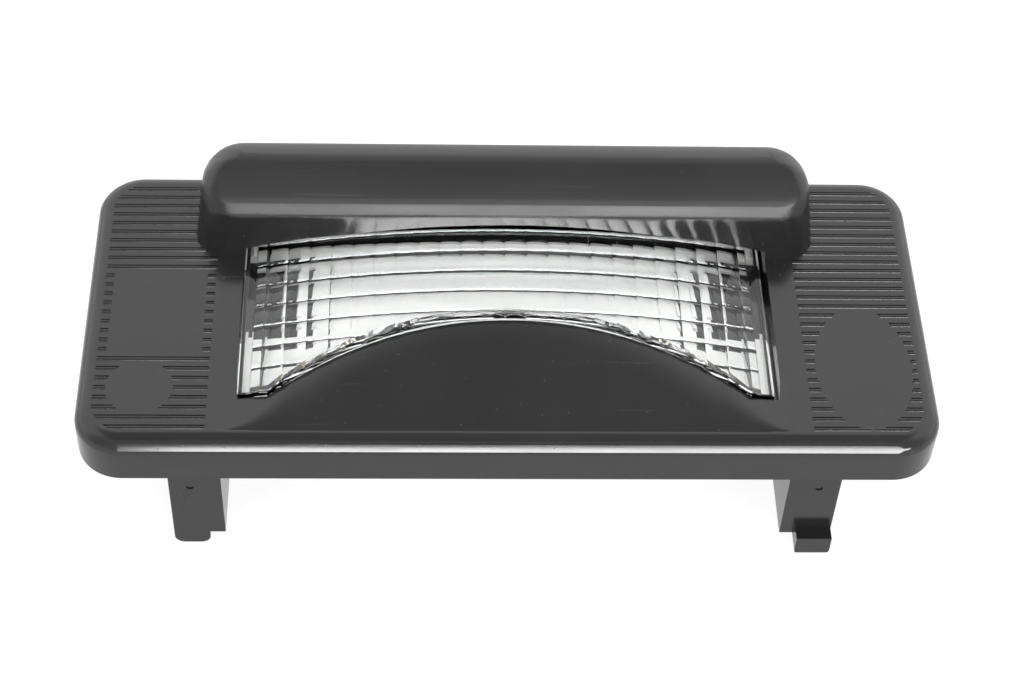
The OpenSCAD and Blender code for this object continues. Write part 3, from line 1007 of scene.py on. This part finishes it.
    def ticks(self, low: float, high: float, pitch: float, first: float, ridge_w: float) -> list[float]:
        """Gives the grid lines across one direction, closer at the ridges.

        Args:
            low: Start of the lens.
            high: End of the lens.
            pitch: Distance between ridges.
            first: Place of the first ridge, at or before the start.
            ridge_w: Width of a ridge.

        Returns:
            The places of the lines.
        """
        places = [low, high]
        ridge = first
        while ridge < high + pitch:
            start, end = ridge + ridge_w / 2, ridge + pitch - ridge_w / 2
            places += [start + (end - start) * i / self.steps for i in range(self.steps + 1)]
            places += [ridge + ridge_w * share for share in self.ridge_lines]
            ridge += pitch
        return [p for p in places if low <= p <= high]

    def tidy(self, places: list[float]) -> list[float]:
        """Sorts grid lines and drops those that fall on each other.

        Args:
            places: The lines' places.

        Returns:
            The places in order.
        """
        kept: list[float] = []
        for place in sorted(places):
            if not kept or place - kept[-1] > self.line_gap:
                kept.append(place)
        return kept

    def flute(self, off: float, pitch: float, depth: float, ridge_w: float, ridge_h: float) -> float:
        """Depth of a hollow flute, or of the ridge beside it, which rises to a narrow flat top.

        Args:
            off: Distance from one ridge.
            pitch: Distance between ridges.
            depth: Depth in the flute's middle.
            ridge_w: Width of a ridge.
            ridge_h: Height of a ridge above the flute's edge.

        Returns:
            The depth there, below zero on a ridge.
        """
        from_middle = abs(off % pitch - pitch / 2)
        half = (pitch - ridge_w) / 2
        if from_middle < half:
            return depth * (1 - (from_middle / half) ** 2)
        return -ridge_h * min((from_middle - half) / (ridge_w / 2) * self.ridge_steepness, 1.0)

    def outer(self, x: float) -> float:
        """Height of the lens's outside."""
        flute = self.flute(x + self.half, self.column_pitch, self.depth, self.ridge_w, self.ridge_h)
        return self.face.arch(x) - flute

    def inner(self, x: float, y: float) -> float:
        """Height of the lens's inside, or of the foot of its side walls.

        Args:
            x: Place across the lens.
            y: Place from front to back.

        Returns:
            The height in millimetres.
        """
        in_side = abs(x) > self.half - self.side_wall
        if in_side or y < self.front(x) + self.side_wall or y > self.y1 - self.side_wall:
            return self.foot_z
        flute = self.flute(
            y - self.row_start, self.row_pitch, self.row_depth, self.row_ridge_w, self.row_ridge_h
        )
        return self.face.arch(x) - self.thick + flute

    def add_flange(self, bm: bmesh.types.BMesh) -> None:
        """Adds the flange under the face plate, as bars round the lens's foot.

        Args:
            bm: The mesh to add it to.
        """
        bars = (
            (-self.flange_half, -self.half, self.y0, self.flange_y1),
            (self.half, self.flange_half, self.y0, self.flange_y1),
            (-self.half, self.half, self.y1, self.flange_y1),
        )
        for x0, x1, y0, y1 in bars:
            size = (x1 - x0, y1 - y0, self.flange_t - self.flange_play, 1)
            middle = Vector(((x0 + x1) / 2, (y0 + y1) / 2, self.foot_z + self.flange_t / 2))
            bmesh.ops.create_cube(bm, size=1.0, matrix=Matrix.Translation(middle) @ Matrix.Diagonal(size))


@dataclass
class CarriedNode:
    """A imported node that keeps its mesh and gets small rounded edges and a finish."""

    node: str
    slot: Slot
    edge: float
    edge_steps: int = 2
    hard_angle: float = 40.0
    merge: float = 0.002

    def dress(self, finish: bpy.types.Material) -> None:
        """Rounds the node's edges by modifiers and gives it its finish.

        Args:
            finish: Its material.
        """
        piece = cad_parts[self.node]
        piece.data.materials.clear()
        piece.data.materials.append(finish)
        weld = piece.modifiers.new("joined corners", "WELD")
        weld.merge_threshold = self.merge * MM
        if self.edge > 0:
            bevel = piece.modifiers.new("rounded edges", "BEVEL")
            bevel.width = self.edge * MM
            bevel.segments = self.edge_steps
            bevel.limit_method = "ANGLE"
            bevel.angle_limit = math.radians(self.hard_angle)
            weigh_normals(piece)


@dataclass
class Filament:
    """The bulb's coiled wire on its two leads."""

    length: float = 24.4
    coil_share: float = 0.5
    y: float = -8.95
    z: float = 1.05
    coil_r: float = 0.28
    wire_r: float = 0.06
    wire_sides: int = 6
    turns: int = 34
    turn_steps: int = 8
    lead_r: float = 0.2
    lead_sides: int = 12
    hard_angle: float = 40.0

    def build(self, finish: bpy.types.Material) -> bpy.types.Object:
        """Builds the coil and its leads.

        Args:
            finish: Its material.

        Returns:
            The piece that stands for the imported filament.
        """
        bm = bmesh.new()
        half = self.length * self.coil_share / 2
        start = Matrix.Translation((-half, self.y + self.coil_r, self.z))
        ring = bmesh.ops.create_circle(
            bm, segments=self.wire_sides, radius=self.wire_r,
            matrix=start @ Matrix.Rotation(math.pi / 2, 4, "X"),
        )
        edges = list(dict.fromkeys(e for v in ring["verts"] for e in v.link_edges))
        steps = self.turns * self.turn_steps
        bmesh.ops.spin(
            bm, geom=edges, cent=(0, self.y, self.z), axis=(1, 0, 0), angle=math.tau * self.turns,
            steps=steps, dvec=(2 * half / steps, 0, 0),
        )
        lead = self.length / 2 - half
        along_x = Matrix.Rotation(math.pi / 2, 4, "Y")
        for side in (-1, 1):
            middle = Matrix.Translation((side * (half + lead / 2), self.y, self.z))
            bmesh.ops.create_cone(
                bm, cap_ends=True, segments=self.lead_sides, radius1=self.lead_r, radius2=self.lead_r,
                depth=lead, matrix=middle @ along_x,
            )
        bmesh.ops.recalc_face_normals(bm, faces=bm.faces)
        shade(bm, self.hard_angle)
        piece = make_piece("filament_coil", bm, finish, Slot.WIRE)
        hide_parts("bulb_filament")
        return piece


@dataclass(frozen=True)
class SoftBox:
    """A soft box of the studio, in millimetres and watts.

    A box that isn't mirrored lights the lamp but doesn't show in its glossy surfaces.
    """

    name: str
    place: Point
    target: Point
    width: float
    height: float
    power: float
    mirrored: bool = True

    def build(self) -> None:
        """Adds the light to the scene."""
        data = bpy.data.lights.new(self.name, "AREA")
        data.shape = "RECTANGLE"
        data.size, data.size_y = self.width * MM, self.height * MM
        data.energy = self.power
        lamp = bpy.data.objects.new(self.name, data)
        lamp.location = Vector(self.place) * MM
        lamp.rotation_euler = (Vector(self.target) - Vector(self.place)).to_track_quat("-Z", "Y").to_euler()
        lamp.visible_glossy = self.mirrored
        bpy.context.scene.collection.objects.link(lamp)


@dataclass
class Studio:
    """The floor, the lights and the camera.

    The tent round the lamp is dark from dark_top upwards and dim in front. Each of its two ramps
    has the range of the direction's Z or Y that it covers, and the light levels at its ends.
    """

    focal_px: float = 2314.0
    picture_px: float = 1024.0
    sensor: float = 36.0
    elevation: float = 50.0
    yaw: float = 3.70
    roll: float = 3.11
    eye: Point = (-10.9, -180.6, 215.0)
    clip: Span = (10.0, 20000.0)
    floor_z: float = -20.45
    floor_half: float = 1500.0
    dark_top: Span = (0.82, 0.95)
    top_levels: Span = (1.6, 0.44)
    dim_front: Span = (-0.45, 0.0)
    front_levels: Span = (0.42, 1.0)
    front_strip: SoftBox = SoftBox(
        "front strip", place=(140, -590, 95), target=(0, -10, 8), width=520, height=76, power=3.0
    )
    top_box: SoftBox = SoftBox(
        "top soft box", place=(0, -330, 800), target=(0, 0, 0), width=900, height=600, power=17.0,
        mirrored=False,
    )

    def build(self, paper: bpy.types.Material) -> None:
        """Sets up the whole studio.

        Args:
            paper: The floor's material.
        """
        self.add_floor(paper)
        self.add_world()
        for box in (self.front_strip, self.top_box):
            box.build()
        self.add_camera()

    def add_floor(self, paper: bpy.types.Material) -> None:
        """Adds the floor under the legs.

        Args:
            paper: Its material.
        """
        bm = bmesh.new()
        bmesh.ops.create_grid(bm, x_segments=1, y_segments=1, size=self.floor_half)
        bmesh.ops.translate(bm, vec=(0, 0, self.floor_z), verts=bm.verts)
        floor = make_piece("floor", bm, paper, None)

    def add_world(self) -> None:
        """Makes the world: white to the camera, and a pale tent with a dark top to the lamp."""
        world = bpy.data.worlds.new("tent")
        bpy.context.scene.world = world
        world.use_nodes = True
        tree = world.node_tree
        tree.nodes.clear()

        def add(kind: str, **values: object) -> bpy.types.Node:
            """Adds a node to the world's tree.

            Args:
                kind: The node's type.
                values: Its attributes.

            Returns:
                The new node.
            """
            node = tree.nodes.new(kind)
            for key, value in values.items():
                setattr(node, key, value)
            return node

        def ramp(value: Socket, ends: Span, levels: Span) -> Socket:
            """Maps a value softly from one range to another.

            Args:
                value: The value to map.
                ends: The range's ends.
                levels: The results at its ends.

            Returns:
                The mapped value's socket.
            """
            node = add("ShaderNodeMapRange", interpolation_type="SMOOTHSTEP")
            for key, number in zip(("From Min", "From Max", "To Min", "To Max"), ends + levels):
                node.inputs[key].default_value = number
            tree.links.new(value, node.inputs["Value"])
            return node.outputs["Result"]

        where = add("ShaderNodeTexCoord")
        split = add("ShaderNodeSeparateXYZ")
        tree.links.new(where.outputs["Generated"], split.inputs["Vector"])
        level = add("ShaderNodeMath", operation="MULTIPLY")
        tree.links.new(ramp(split.outputs["Z"], self.dark_top, self.top_levels), level.inputs[0])
        tree.links.new(ramp(split.outputs["Y"], self.dim_front, self.front_levels), level.inputs[1])
        tent = add("ShaderNodeBackground")
        tree.links.new(level.outputs[0], tent.inputs["Strength"])
        white = add("ShaderNodeBackground")
        ray = add("ShaderNodeLightPath")
        mix = add("ShaderNodeMixShader")
        tree.links.new(ray.outputs["Is Camera Ray"], mix.inputs[0])
        tree.links.new(tent.outputs[0], mix.inputs[1])
        tree.links.new(white.outputs[0], mix.inputs[2])
        for light in (tent, white):
            light.inputs["Color"].default_value = (1, 1, 1, 1)
        out = add("ShaderNodeOutputWorld")
        tree.links.new(mix.outputs[0], out.inputs["Surface"])

    def add_camera(self) -> None:
        """Adds the camera of the photograph."""
        data = bpy.data.cameras.new("camera")
        data.sensor_fit = "HORIZONTAL"
        data.sensor_width = self.sensor
        data.lens = self.focal_px / self.picture_px * self.sensor
        data.clip_start, data.clip_end = (length * MM for length in self.clip)
        e, yaw, roll = (math.radians(a) for a in (self.elevation, self.yaw, self.roll))
        ahead = Vector((math.sin(yaw) * math.cos(e), math.cos(yaw) * math.cos(e), -math.sin(e)))
        level = Vector((math.cos(yaw), -math.sin(yaw), 0))
        upright = level.cross(ahead)
        right = math.cos(roll) * level + math.sin(roll) * upright
        up = math.cos(roll) * upright - math.sin(roll) * level
        camera = bpy.data.objects.new("camera", data)
        turn = Matrix((right, up, -ahead)).transposed().to_4x4()
        camera.matrix_world = Matrix.Translation(Vector(self.eye) * MM) @ turn
        bpy.context.scene.collection.objects.link(camera)
        bpy.context.scene.camera = camera


def main() -> None:
    """Builds the lamp, its finishes and the studio."""
    logging.basicConfig(level=logging.INFO)
    bpy.context.scene.view_settings.view_transform = "Standard"
    black = MouldedPlastic(
        "black_moulding", colour=(0.0062, 0.0062, 0.0064), dusty=(0.018, 0.018, 0.019),
        roughness=0.15, worn_roughness=0.34,
    ).build()
    white = MouldedPlastic(
        "white_moulding", colour=(0.86, 0.86, 0.845), dusty=(0.8, 0.79, 0.77),
        roughness=0.35, worn_roughness=0.35,
    ).build()
    clear = ClearPlastic("clear_moulding", (0.97, 0.98, 0.98), 0.015, 1.49).build()
    glass = ClearPlastic("bulb_glass_clear", (0.985, 0.99, 0.99), 0.004, 1.5).build()
    brass = Metal("contact_brass", (0.74, 0.67, 0.52), (0.5, 0.44, 0.33), 0.24).build()
    plated = Metal("plated_tin", (0.74, 0.74, 0.75), (0.5, 0.5, 0.5), 0.2).build()
    wire = Metal("tungsten_wire", (0.4, 0.4, 0.42), (0.22, 0.22, 0.24), 0.3).build()
    seal = SealRubber("seal_rubber", (0.03, 0.03, 0.031)).build()
    paper = StudioPaper("studio_paper", (0.9, 0.9, 0.9), 0.85).build()

    face = LampFace()
    for piece in (Housing(face).build(black), Lens(face).build(clear), Filament().build(wire)):
        LOG.info("%s: %d faces", piece.name, len(piece.data.polygons))
    carried = (
        (CarriedNode("bulb_carrier", Slot.WHITE, 0.12), white),
        (CarriedNode("carrier_seal", Slot.SEAL, 0.2), seal),
        (CarriedNode("contact_left", Slot.BRASS, 0.08), brass),
        (CarriedNode("contact_right", Slot.BRASS, 0.08), brass),
        (CarriedNode("rivet_left", Slot.PLATED, 0.15), plated),
        (CarriedNode("rivet_right", Slot.PLATED, 0.15), plated),
        (CarriedNode("bulb_cap_left", Slot.PLATED, 0.0), plated),
        (CarriedNode("bulb_cap_right", Slot.PLATED, 0.0), plated),
        (CarriedNode("bulb_glass", Slot.GLASS, 0.0), glass),
    )
    for node, finish in carried:
        node.dress(finish)
        LOG.info("%s dressed", node.node)
    Studio().build(paper)


if __name__ == "__main__":
    main()
